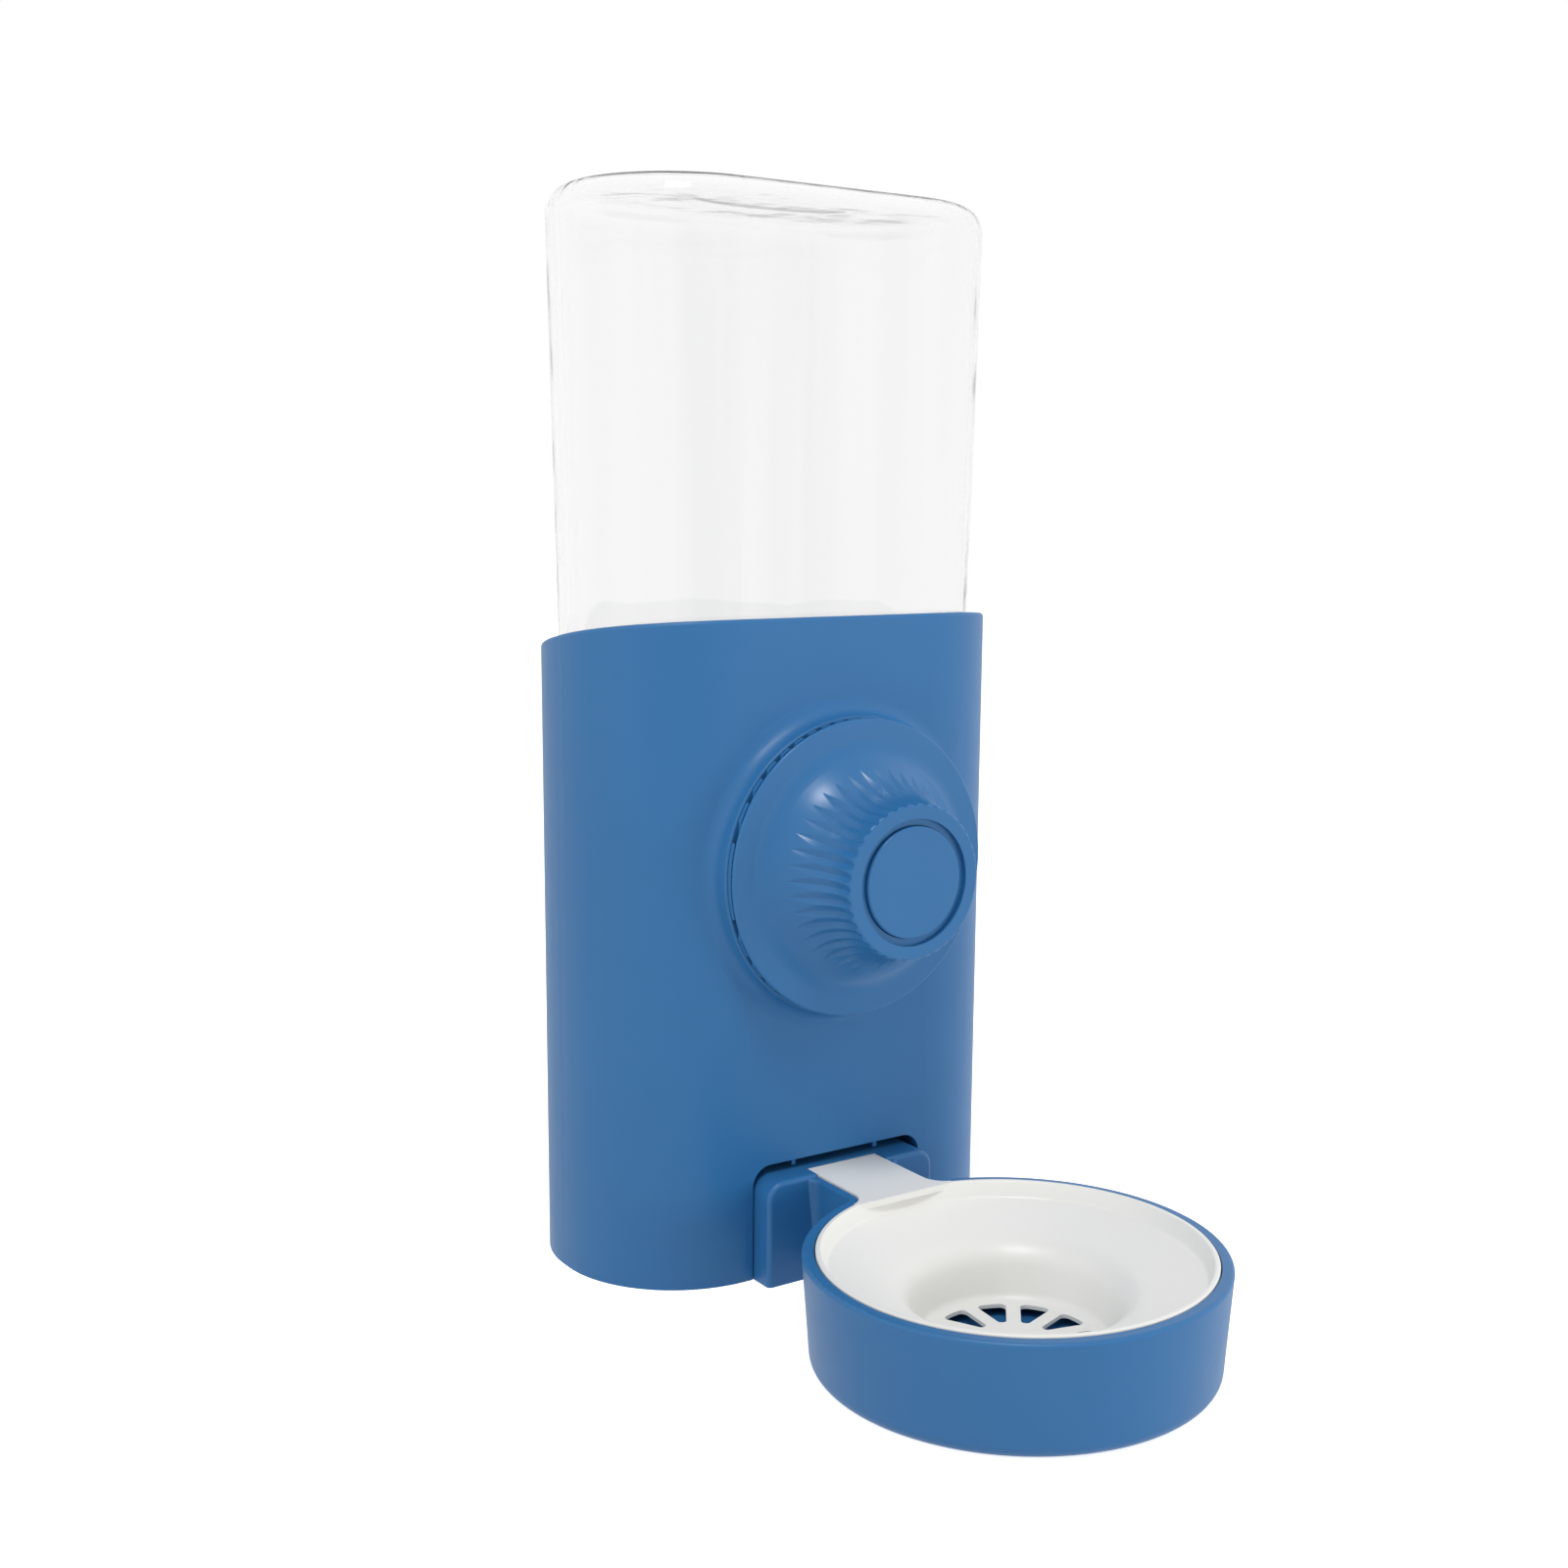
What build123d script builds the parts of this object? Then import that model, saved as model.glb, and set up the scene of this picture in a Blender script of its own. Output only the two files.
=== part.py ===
from build123d import *
import math
import os

# Gravity water bottle for small animals, clamped to the wires of a cage.
# Millimetres, +Z up, X across the housing, the bowl reaches towards -Y.
# The origin is the centre of the housing's foot, on the floor.

# clearances
seat_gap = 0.2
slide_gap = 0.4
thread_gap = 0.15
dish_gap = 0.3
cap_gap = 1.0

# housing shell
foot_width = 117.7
foot_depth = 66.6
foot_flat = 3.2
shell_draft = 0.34
shell_wall = 2.8
rim_front = 161.9
rim_middle = 156.9
rim_back = 148.3
rim_round = 0.9
deck_underside = 49.8
deck_thickness = 2.8
deck_chamfer = 1.0
pocket_wall = 2.0
head_gap = 2.3
slot_rib_offset = 12.3
slot_rib_thickness = 1.2
slot_rib_depth = 3.5

# boss on the front of the housing
clamp_height = 101.2
boss_radius = 36.7
boss_front = 39.5
boss_round = 0.6
boss_blend = 4.6
boss_skin = 2.8
boss_core_radius = 19.0

# clamp screw, ring and knob
screw_radius = 7.0
screw_flats = 12.4
screw_tip_gap = 0.9
screw_chamfer = 0.6
flange_width = 24.0
flange_thickness = 3.0
ring_radius = 35.4
ring_thickness = 0.8
rib_reach = 36.2
rib_height = 0.45
rib_width = 2.1
rib_pitch = 3.8
rib_count = 20
disc_radius = 36.3
disc_thickness = 1.15
disc_round = 0.5
disc_rise = 0.45
flare_radius = 26.0
flare_blend = 7.0
grip_radius = 18.6
grip_front = 63.8
grip_round = 0.7
flute_count = 40
flute_width = 6.0
flute_rise = 1.2
flute_depth = 0.45
flute_run = 2.0
flute_radius = 20.0
flute_sweep = 56.0
knob_wall = 2.4
hub_radius = 14.6
hollow_start = 13.0
groove_radius = 15.1
groove_depth = 1.2
knob_cap_radius = 13.3
knob_cap_thickness = 2.4
nut_width = 21.0
nut_thickness = 9.0

# tray: reservoir block, neck and bowl in one moulding
tray_width = 49.2
tray_height = 25.9
tray_corner = 4.5
tray_front = 40.0
tray_back = 23.6
tray_wall = 2.0
tray_floor = 2.0
tray_edge = 1.2
cover_start = 28.0
cover_thickness = 3.9
neck_wall = 1.2
neck_blend = 4.0
channel_width = 15.0
bowl_centre = 102.8
bowl_radius = 47.5
bowl_height = 25.25
bowl_draft = 4.5
bowl_foot_round = 3.0
bowl_rim_round = 0.9
bowl_ledge = 20.1
ledge_width = 2.3
post_width = 7.0
post_blade = 1.8
post_top = 26.0

# white dish that drops into the bowl
dish_rim_width = 2.8
dish_top = 25.66
dish_thickness = 1.6
dish_lip = 1.5
dish_edge_radius = 42.6
dish_edge_height = 22.2
well_radius = 24.4
well_edge_height = 16.4
well_floor_radius = 21.0
well_floor_height = 5.0
well_floor_round = 1.5
well_edge_round = 3.0
dish_edge_round = 2.0
hole_outer_radius = 18.8
hole_inner_radius = 9.2
hole_count = 8
spoke_width = 3.8
hole_round = 1.6
tongue_width = 20.4
tongue_end = 34.9
tongue_flare = 6.0

# clear bottle, standing on its shoulder with the neck down
bottle_side_gap = 2.85
bottle_front_gap = 2.9
shoulder_flat = 1.2
bottle_taper = 1.43
bottle_top = 264.0
bottle_wall = 1.6
shoulder_round = 6.0
crown_round = 6.5
crown_mark_length = 44.0
crown_mark_width = 16.0
crown_mark_depth = 0.7
neck_radius = 18.0
bottle_neck_wall = 2.0
bottle_neck_length = 16.8

# screw cap with its valve
cap_radius = 22.0
cap_plate = 2.5
cap_skirt_height = 17.0
cap_rib_count = 24
cap_rib_height = 0.7
cap_rib_width = 1.4
cap_neck_gap = 1.2
gasket_thickness = 1.5
gasket_inner_radius = 13.6
spout_radius = 11.0
spout_wall = 2.0
spout_mouth = 17.5
valve_port_radius = 5.0
valve_lift = 4.0
stem_radius = 2.4
stem_flange_radius = 7.0
stem_flange_thickness = 1.5
seal_radius = 8.0
seal_thickness = 2.0
seal_fit = 0.05
spring_length = 12.0
spring_radius = 5.0
spring_wire = 0.8
cage_radius = 13.2
cage_ring_width = 3.6
cage_ring_height = 2.0
cage_leg_width = 2.6
cage_leg_thickness = 2.0
cage_leg_count = 4
cage_top_thickness = 1.5
stem_tail = 6.5
stem_chamfer = 0.8

# sizes and levels that follow from those above
foot_corner = (foot_depth - foot_flat) / 2
shoulder_width = foot_width - 2 * (shell_wall + bottle_side_gap)
shoulder_depth = foot_depth - 2 * (shell_wall + bottle_front_gap)
shoulder_corner = (shoulder_depth - shoulder_flat) / 2
rim_reach = foot_depth / 2 + shell_wall
front_start = foot_depth / 2 - shell_wall / 2
pocket_back = tray_back + slide_gap
draft_at_clamp = clamp_height * math.tan(math.radians(shell_draft))
screw_seat = foot_depth / 2 + draft_at_clamp - shell_wall + seat_gap + flange_thickness
screw_reach = grip_front - knob_cap_thickness - screw_tip_gap
slot_half = tray_width / 2 + slide_gap
slot_height = tray_height + head_gap
slot_corner = tray_corner + slide_gap
deck_top = deck_underside + deck_thickness
shoulder_height = deck_top + seat_gap
neck_mouth = shoulder_height - bottle_neck_length
cap_floor = neck_mouth - gasket_thickness
cap_bottom = cap_floor - cap_plate
deck_hole_radius = cap_radius + cap_rib_height + cap_gap
bowl_seat_radius = bowl_radius - dish_rim_width
dish_radius = bowl_seat_radius - dish_gap
bowl_bore_radius = bowl_seat_radius - ledge_width
tongue_underside = dish_top - dish_thickness
neck_half = tongue_width / 2 + dish_gap + neck_wall
rib_back = boss_front + seat_gap
ring_front = rib_back + rib_height + ring_thickness
disc_back = ring_front + seat_gap
disc_front = disc_back + disc_thickness
flare_sweep = math.degrees(math.asin((grip_front - disc_front - disc_rise) / flare_radius))
hollow_end = math.degrees(math.asin((grip_front - disc_back) / (flare_radius + knob_wall)))
nut_front = grip_front - knob_cap_thickness - seat_gap
nut_back = nut_front - nut_thickness
seal_bottom = cap_floor + valve_lift
flange_bottom = seal_bottom + seal_thickness
spring_bottom = flange_bottom + stem_flange_thickness
cage_top = spring_bottom + spring_length
stem_bottom = post_top + seat_gap

# sketch plane through the clamp's axis: local x is the distance forward, local y the radius
clamp_axis = Axis((0, 0, clamp_height), (0, -1, 0))
clamp_profile = Plane(origin=(0, 0, clamp_height), x_dir=(0, -1, 0), z_dir=(-1, 0, 0))
bowl_axis = Axis((0, -bowl_centre, 0), (0, 0, 1))
bowl_profile = Plane.XZ.offset(bowl_centre)


def clamp_face(forward):
    """Plane square to the clamp's axis, a distance in front of the origin."""
    return Plane(origin=(0, -forward, clamp_height), x_dir=(1, 0, 0), z_dir=(0, -1, 0))


def keyed_disc(grow):
    """Section of the clamp screw's shank with its two flats, grown by a clearance."""
    with BuildSketch(Plane.XY) as section:
        Circle(screw_radius + grow)
        Rectangle(3 * screw_radius, screw_flats + 2 * grow, mode=Mode.INTERSECT)
    return section.sketch


def ring_edges(builder, radius, height):
    """Circular edges of one radius at one height."""
    return builder.edges().filter_by(
        lambda e: e.geom_type == GeomType.CIRCLE
        and abs(e.radius - radius) < 0.01
        and abs(e.center().Z - height) < 0.01
    )


def dish_outline(grow):
    """Plan of the white dish and its tongue, grown by a clearance."""
    with BuildSketch(Plane.XY) as plan:
        with Locations((0, -bowl_centre)):
            Circle(dish_radius)
        with Locations((0, -tongue_end)):
            Rectangle(
                tongue_width, bowl_centre - tongue_end, align=(Align.CENTER, Align.MAX)
            )
        fillet(plan.vertices().group_by(Axis.Y)[-2], tongue_flare)
        if grow:
            offset(amount=grow)
    return plan.sketch


def bottle_form(inset):
    """Tapered bottle body between its shoulder and crown, drawn in by a wall."""
    with BuildPart() as form:
        with BuildSketch(Plane.XY.offset(shoulder_height + inset)):
            RectangleRounded(
                shoulder_width - 2 * inset,
                shoulder_depth - 2 * inset,
                shoulder_corner - inset,
            )
        extrude(amount=bottle_top - shoulder_height - 2 * inset, taper=-bottle_taper)
        fillet(form.faces().sort_by(Axis.Z)[-1].edges(), crown_round - inset)
        fillet(form.faces().sort_by(Axis.Z)[0].edges(), shoulder_round - inset)
    return form.part


def write_part(part, node):
    """Label one finished piece and write it as its own file."""
    part.label = node
    export_step(part, f"parts/{node}.step")


os.makedirs("parts", exist_ok=True)

# housing: open-topped oval shell with a deck for the bottle and a pocket for the tray
with BuildPart() as housing:
    with BuildSketch(Plane.XY):
        RectangleRounded(foot_width, foot_depth, foot_corner)
    extrude(amount=rim_front + boss_radius, taper=-shell_draft)

    # round boss that the clamp ring presses against, blended into the front
    with BuildSketch(clamp_face(foot_depth / 4)):
        Circle(boss_radius)
    extrude(amount=boss_front - foot_depth / 4)
    fillet(housing.faces().sort_by(Axis.Y)[0].edges(), boss_round)
    boss_side = housing.faces().filter_by(GeomType.CYLINDER).sort_by(Axis.Y)[0]
    boss_root = boss_side.edges().filter_by(
        lambda e: e.geom_type not in (GeomType.LINE, GeomType.CIRCLE)
    )
    fillet(boss_root, boss_blend)

    # hollow above and below the deck
    for level, height in ((0, deck_underside), (deck_top, rim_front + boss_radius)):
        growth = level * math.tan(math.radians(shell_draft))
        with BuildSketch(Plane.XY.offset(level)):
            RectangleRounded(
                foot_width - 2 * (shell_wall - growth),
                foot_depth - 2 * (shell_wall - growth),
                foot_corner - shell_wall + growth,
            )
        extrude(amount=height, taper=-shell_draft, mode=Mode.SUBTRACT)

    # rim falls away to the back along a shallow arc
    with BuildSketch(Plane.YZ):
        with BuildLine():
            rim_arc = ThreePointArc(
                (-rim_reach, rim_front), (0, rim_middle), (rim_reach, rim_back)
            )
            Polyline(
                rim_arc @ 1,
                (rim_reach, 2 * rim_front),
                (-rim_reach, 2 * rim_front),
                rim_arc @ 0,
            )
        make_face()
    extrude(amount=foot_width, both=True, mode=Mode.SUBTRACT)
    rim_face = housing.faces().filter_by(lambda f: f.center().Z > rim_back).sort_by(Axis.Z)[-1]
    fillet(rim_face.edges(), rim_round)

    # mouth of the tray pocket in the front wall
    with BuildSketch(Plane.XZ.offset(foot_depth / 2 - 2 * shell_wall)) as slot:
        Rectangle(2 * slot_half, slot_height, align=(Align.CENTER, Align.MIN))
        fillet(slot.vertices().group_by(Axis.Y)[-1], slot_corner)
    extrude(amount=4 * shell_wall, mode=Mode.SUBTRACT)

    # pocket walls hang from the deck round the tray, open at the foot
    with BuildSketch(Plane.XY):
        with Locations((0, -front_start)):
            Rectangle(
                2 * (slot_half + pocket_wall),
                front_start + pocket_back + pocket_wall,
                align=(Align.CENTER, Align.MIN),
            )
            Rectangle(
                2 * slot_half,
                front_start + pocket_back,
                align=(Align.CENTER, Align.MIN),
                mode=Mode.SUBTRACT,
            )
    extrude(amount=deck_underside)
    with BuildSketch(Plane.XY.offset(deck_underside)):
        with Locations((-slot_rib_offset, -front_start), (slot_rib_offset, -front_start)):
            Rectangle(
                slot_rib_thickness,
                front_start - foot_depth / 2 + shell_wall + slot_rib_depth,
                align=(Align.CENTER, Align.MIN),
            )
    extrude(amount=tray_height + slide_gap - deck_underside)

    # round way through the deck for the cap
    with BuildSketch(Plane.XY.offset(deck_underside)):
        Circle(deck_hole_radius)
    extrude(amount=deck_thickness, mode=Mode.SUBTRACT)
    deck_edge = (
        housing.edges()
        .filter_by(GeomType.CIRCLE)
        .filter_by_position(Axis.Z, deck_top - 0.01, deck_top + 0.01)
    )
    chamfer(deck_edge, deck_chamfer)

    # boss is cored from behind round the seat of the clamp screw
    with BuildSketch(clamp_face(foot_depth / 4)):
        Circle(boss_radius - boss_skin)
        Circle(boss_core_radius, mode=Mode.SUBTRACT)
    extrude(amount=boss_front - boss_skin - foot_depth / 4, mode=Mode.SUBTRACT)
    with BuildSketch(clamp_face(foot_depth / 4)):
        RegularPolygon(flange_width / 2 + thread_gap, 6, major_radius=False)
    extrude(amount=screw_seat - foot_depth / 4, mode=Mode.SUBTRACT)
    with BuildSketch(clamp_face(foot_depth / 4)):
        add(keyed_disc(seat_gap))
    extrude(amount=boss_front, mode=Mode.SUBTRACT)

write_part(housing.part, "housing")

# clamp screw: hexagon flange held from inside the housing, shank with two flats
with BuildPart() as clamp_screw:
    with BuildSketch(clamp_face(screw_seat - flange_thickness)):
        RegularPolygon(flange_width / 2, 6, major_radius=False)
    extrude(amount=flange_thickness)
    with BuildSketch(clamp_face(screw_seat)):
        add(keyed_disc(0))
    extrude(amount=screw_reach - screw_seat)
    chamfer(clamp_screw.faces().sort_by(Axis.Y)[0].edges(), screw_chamfer)

write_part(clamp_screw.part, "clamp_screw")

# clamp ring: thin plate keyed to the screw, upright ribs behind it that grip upright wires
with BuildPart() as clamp_ring:
    with BuildSketch(clamp_face(rib_back + rib_height)):
        Circle(ring_radius)
    extrude(amount=ring_thickness)
    with BuildSketch(clamp_face(rib_back)):
        with GridLocations(rib_pitch, 0, rib_count, 1):
            Rectangle(rib_width, 2 * rib_reach)
        Circle(rib_reach, mode=Mode.INTERSECT)
    extrude(amount=rib_height + ring_thickness)
    with BuildSketch(clamp_face(rib_back)):
        add(keyed_disc(slide_gap / 2))
    extrude(amount=rib_height + ring_thickness, mode=Mode.SUBTRACT)

write_part(clamp_ring.part, "clamp_ring")

# cutter for one flute: a wedge bent tighter than the grip's flare, so the flute runs out in a point
with BuildPart() as flute:
    with BuildSketch(Plane.XZ.offset(grip_front - flute_run)) as flute_section:
        with Locations((0, clamp_height + grip_radius - flute_depth)):
            Polygon(
                (0, 0),
                (-flute_width / 2, flute_rise),
                (flute_width / 2, flute_rise),
                align=None,
            )
    revolve(
        axis=Axis(
            (0, flute_run - grip_front, clamp_height + grip_radius - flute_depth + flute_radius),
            (1, 0, 0),
        ),
        revolution_arc=flute_sweep,
    )
    extrude(flute_section.sketch, amount=2 * flute_run)

# knob: disc and trumpet-shaped grip in one moulding, hollow behind, nut pocket in front
with BuildPart() as knob:
    with BuildSketch(clamp_profile):
        with BuildLine():
            flare = CenterArc(
                (grip_front, grip_radius + flare_radius), flare_radius, 270, -flare_sweep
            )
            Polyline(
                flare @ 1,
                (disc_front, disc_radius),
                (disc_back, disc_radius),
                (disc_back, 0),
                (grip_front, 0),
                flare @ 0,
            )
        make_face()
    revolve(axis=clamp_axis)
    knob_edges = knob.edges().filter_by(GeomType.CIRCLE).sort_by(SortBy.RADIUS)
    fillet(knob_edges[-3], flare_blend)
    fillet(knob.edges().filter_by(GeomType.CIRCLE).sort_by(SortBy.RADIUS)[-2:], disc_round)
    fillet(knob.faces().sort_by(Axis.Y)[0].edges(), grip_round)
    add(
        [flute.part.rotate(clamp_axis, 360 / flute_count * i) for i in range(flute_count)],
        mode=Mode.SUBTRACT,
    )
    # ring-shaped hollow between hub and grip, open at the back
    with BuildSketch(clamp_profile):
        with BuildLine():
            inner_flare = CenterArc(
                (grip_front, grip_radius + flare_radius),
                flare_radius + knob_wall,
                270 - hollow_start,
                hollow_start - hollow_end,
            )
            Polyline(
                inner_flare @ 1,
                (ring_front, (inner_flare @ 1).Y),
                (ring_front, hub_radius),
                ((inner_flare @ 0).X, hub_radius),
                inner_flare @ 0,
            )
        make_face()
    revolve(axis=clamp_axis, mode=Mode.SUBTRACT)
    # way for the screw, hexagon pocket for the nut, seat for the cap with its groove
    with BuildSketch(clamp_face(ring_front)):
        Circle(screw_radius + slide_gap)
    extrude(amount=nut_back - ring_front, mode=Mode.SUBTRACT)
    with BuildSketch(clamp_face(nut_back - seat_gap)):
        RegularPolygon(nut_width / 2 + thread_gap, 6, major_radius=False)
    extrude(amount=grip_front, mode=Mode.SUBTRACT)
    with BuildSketch(clamp_face(grip_front - knob_cap_thickness)):
        Circle(knob_cap_radius + thread_gap)
    extrude(amount=grip_front, mode=Mode.SUBTRACT)
    with BuildSketch(clamp_face(grip_front - groove_depth)):
        Circle(groove_radius)
    extrude(amount=grip_front, mode=Mode.SUBTRACT)

write_part(knob.part, "knob")

# knob nut: hexagon insert that runs on the clamp screw
with BuildPart() as knob_nut:
    with BuildSketch(clamp_face(nut_back)):
        RegularPolygon(nut_width / 2, 6, major_radius=False)
        Circle(screw_radius + thread_gap, mode=Mode.SUBTRACT)
    extrude(amount=nut_thickness)

write_part(knob_nut.part, "knob_nut")

# knob cap: plain disc that closes the front of the grip
with BuildPart() as knob_cap:
    with BuildSketch(clamp_face(grip_front - knob_cap_thickness)):
        Circle(knob_cap_radius)
    extrude(amount=knob_cap_thickness)
    fillet(knob_cap.faces().sort_by(Axis.Y)[0].edges(), disc_round)

write_part(knob_cap.part, "knob_cap")

# block of the tray, its long edges rounded at the top
with BuildPart() as tray_block:
    with BuildSketch(Plane.XZ.offset(-tray_back)) as block_end:
        Rectangle(tray_width, tray_height, align=(Align.CENTER, Align.MIN))
        fillet(block_end.vertices().group_by(Axis.Z)[-1], tray_corner)
    extrude(amount=tray_back + tray_front)
    block_ends = (
        tray_block.faces().sort_by(Axis.Y)[0].edges()
        + tray_block.faces().sort_by(Axis.Y)[-1].edges()
    )
    fillet(block_ends.filter_by(lambda e: e.center().Z > tray_edge), tray_edge)

# tray: reservoir block, neck and round bowl in one moulding
with BuildPart() as bowl_tray:
    with BuildSketch(Plane.XY.offset(bowl_height)) as bowl_plan:
        with Locations((0, -bowl_centre)):
            Circle(bowl_radius)
        with Locations((0, -tray_front + tray_edge / 2)):
            Rectangle(
                2 * neck_half, bowl_centre - tray_front, align=(Align.CENTER, Align.MAX)
            )
            Rectangle(
                2 * (neck_half + 2 * neck_blend), 2 * neck_blend, align=(Align.CENTER, Align.MIN)
            )
        neck_corners = bowl_plan.vertices().filter_by(
            lambda v: abs(abs(v.X) - neck_half) < 0.01
        )
        fillet(neck_corners, neck_blend)
    extrude(amount=-bowl_height, taper=bowl_draft)
    for level, radius in ((0, bowl_foot_round), (-1, bowl_rim_round)):
        level_edges = bowl_tray.faces().sort_by(Axis.Z)[level].edges()
        fillet(level_edges.filter_by(lambda e: e.center().Y < -tray_front), radius)
    add(tray_block.part)

    # seat for the dish and its tongue
    with BuildSketch(Plane.XY.offset(tongue_underside - seat_gap)):
        add(dish_outline(dish_gap))
    extrude(amount=tray_height, mode=Mode.SUBTRACT)
    for radius, level in ((bowl_seat_radius, bowl_ledge), (bowl_bore_radius, tray_floor)):
        with BuildSketch(Plane.XY.offset(level)):
            with Locations((0, -bowl_centre)):
                Circle(radius)
        extrude(amount=bowl_height - level, mode=Mode.SUBTRACT)

    # reservoir under a cover in front, open on top behind, with a channel to the bowl
    with BuildSketch(Plane.XY.offset(tray_floor)):
        with Locations((0, tray_back - tray_wall)):
            Rectangle(
                tray_width - 2 * tray_wall,
                tray_front + tray_back - 2 * tray_wall,
                align=(Align.CENTER, Align.MAX),
            )
    extrude(amount=tray_height - cover_thickness - tray_floor, mode=Mode.SUBTRACT)
    with BuildSketch(Plane.XY.offset(tray_floor)):
        with Locations((0, tray_back - tray_corner)):
            Rectangle(
                tray_width - 2 * tray_corner,
                cover_start + tray_back - tray_corner,
                align=(Align.CENTER, Align.MAX),
            )
    extrude(amount=tray_height, mode=Mode.SUBTRACT)
    with BuildSketch(Plane.XY.offset(tray_floor)):
        with Locations((0, -tray_front + tray_wall)):
            Rectangle(channel_width, bowl_centre / 2 - tray_wall, align=(Align.CENTER, Align.MAX))
    extrude(amount=tongue_underside - tray_floor, mode=Mode.SUBTRACT)

    # cross-shaped post that holds the valve open
    with BuildSketch(Plane.XY.offset(tray_floor)):
        Rectangle(post_width, post_blade)
        Rectangle(post_blade, post_width)
    extrude(amount=post_top - tray_floor)

write_part(bowl_tray.part, "bowl_tray")

# dish: dropped into the bowl, its sunken floor pierced in sectors, its tongue covers the neck
with BuildPart() as bowl_dish:
    with BuildSketch(bowl_profile):
        with BuildLine():
            inside = Polyline(
                (0, well_floor_height),
                (well_floor_radius, well_floor_height),
                (well_radius, well_edge_height),
                (dish_edge_radius, dish_edge_height),
            )
            offset(inside, amount=dish_thickness, side=Side.RIGHT, kind=Kind.INTERSECTION)
        make_face()
        Polygon(
            (dish_edge_radius, dish_edge_height),
            (dish_radius - dish_lip, dish_top),
            (dish_radius, dish_top),
            (dish_radius, bowl_ledge + seat_gap),
            (dish_edge_radius, bowl_ledge + seat_gap),
            align=None,
        )
    revolve(axis=bowl_axis)
    with BuildSketch(Plane.XY.offset(tongue_underside)):
        add(dish_outline(0))
        with Locations((0, -bowl_centre)):
            Circle(dish_radius - dish_lip / 2, mode=Mode.SUBTRACT)
    extrude(amount=dish_thickness)
    for radius, height, rounding in (
        (dish_edge_radius, dish_edge_height, dish_edge_round),
        (well_radius, well_edge_height, well_edge_round),
        (well_floor_radius, well_floor_height, well_floor_round),
    ):
        fillet(ring_edges(bowl_dish, radius, height), rounding)
    with BuildSketch(Plane.XY.offset(well_floor_height - dish_thickness)) as holes:
        with Locations((0, -bowl_centre)):
            Circle(hole_outer_radius)
            Circle(hole_inner_radius, mode=Mode.SUBTRACT)
            with PolarLocations(0, hole_count // 2, angular_range=180):
                Rectangle(2 * well_radius, spoke_width, mode=Mode.SUBTRACT)
        fillet(holes.vertices(), hole_round)
    extrude(amount=dish_thickness, mode=Mode.SUBTRACT)

write_part(bowl_dish.part, "bowl_dish")

# bottle: tapered clear shell with its neck down, shallow oval sunk in the crown
with BuildPart() as bottle:
    add(bottle_form(0))
    with BuildSketch(Plane.XY.offset(neck_mouth)):
        Circle(neck_radius)
    extrude(amount=bottle_neck_length + bottle_wall)
    with BuildSketch(Plane.XY.offset(bottle_top - crown_mark_depth)):
        Ellipse(crown_mark_length / 2, crown_mark_width / 2)
    extrude(amount=crown_mark_depth, mode=Mode.SUBTRACT)
    add(bottle_form(bottle_wall), mode=Mode.SUBTRACT)
    with BuildSketch(Plane.XY.offset(neck_mouth)):
        Circle(neck_radius - bottle_neck_wall)
    extrude(amount=bottle_neck_length + 2 * bottle_wall, mode=Mode.SUBTRACT)

write_part(bottle.part, "bottle")

# screw cap: ribbed skirt round the neck, plate with the valve port, spout below it
with BuildPart() as bottle_cap:
    with BuildSketch(Plane.XY.offset(cap_bottom)):
        Circle(cap_radius)
        with PolarLocations(cap_radius, cap_rib_count):
            Rectangle(2 * cap_rib_height, cap_rib_width)
    extrude(amount=cap_plate + cap_skirt_height)
    with BuildSketch(Plane.XY.offset(cap_floor)):
        Circle(neck_radius + cap_neck_gap)
    extrude(amount=cap_skirt_height, mode=Mode.SUBTRACT)
    with BuildSketch(Plane.XY.offset(spout_mouth)):
        Circle(spout_radius)
        Circle(spout_radius - spout_wall, mode=Mode.SUBTRACT)
    extrude(amount=cap_bottom - spout_mouth)
    with BuildSketch(Plane.XY.offset(cap_bottom)):
        Circle(valve_port_radius)
    extrude(amount=cap_plate, mode=Mode.SUBTRACT)

write_part(bottle_cap.part, "bottle_cap")

# cap gasket: flat ring between the neck's mouth and the cap
with BuildPart() as cap_gasket:
    with BuildSketch(Plane.XY.offset(cap_floor)):
        Circle(neck_radius - seat_gap)
        Circle(gasket_inner_radius, mode=Mode.SUBTRACT)
    extrude(amount=gasket_thickness)

write_part(cap_gasket.part, "cap_gasket")

# valve stem: pin that the post pushes up, with a flange for seal and spring
with BuildPart() as valve_stem:
    for radius, bottom, top in (
        (stem_radius, stem_bottom, cage_top + stem_tail),
        (stem_flange_radius, flange_bottom, spring_bottom),
    ):
        with BuildSketch(Plane.XY.offset(bottom)):
            Circle(radius)
        extrude(amount=top - bottom)
    chamfer(valve_stem.faces().sort_by(Axis.Z)[-1].edges(), stem_chamfer)

write_part(valve_stem.part, "valve_stem")

# valve seal: soft washer under the stem's flange
with BuildPart() as valve_seal:
    with BuildSketch(Plane.XY.offset(seal_bottom)):
        Circle(seal_radius)
        Circle(stem_radius + seal_fit, mode=Mode.SUBTRACT)
    extrude(amount=seal_thickness)

write_part(valve_seal.part, "valve_seal")

# valve spring: closes the valve when the bottle is lifted off the post
with BuildPart() as valve_spring:
    with BuildSketch(Plane.XY.offset(spring_bottom)):
        Circle(spring_radius + spring_wire / 2)
        Circle(spring_radius - spring_wire / 2, mode=Mode.SUBTRACT)
    extrude(amount=spring_length)

write_part(valve_spring.part, "valve_spring")

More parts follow.
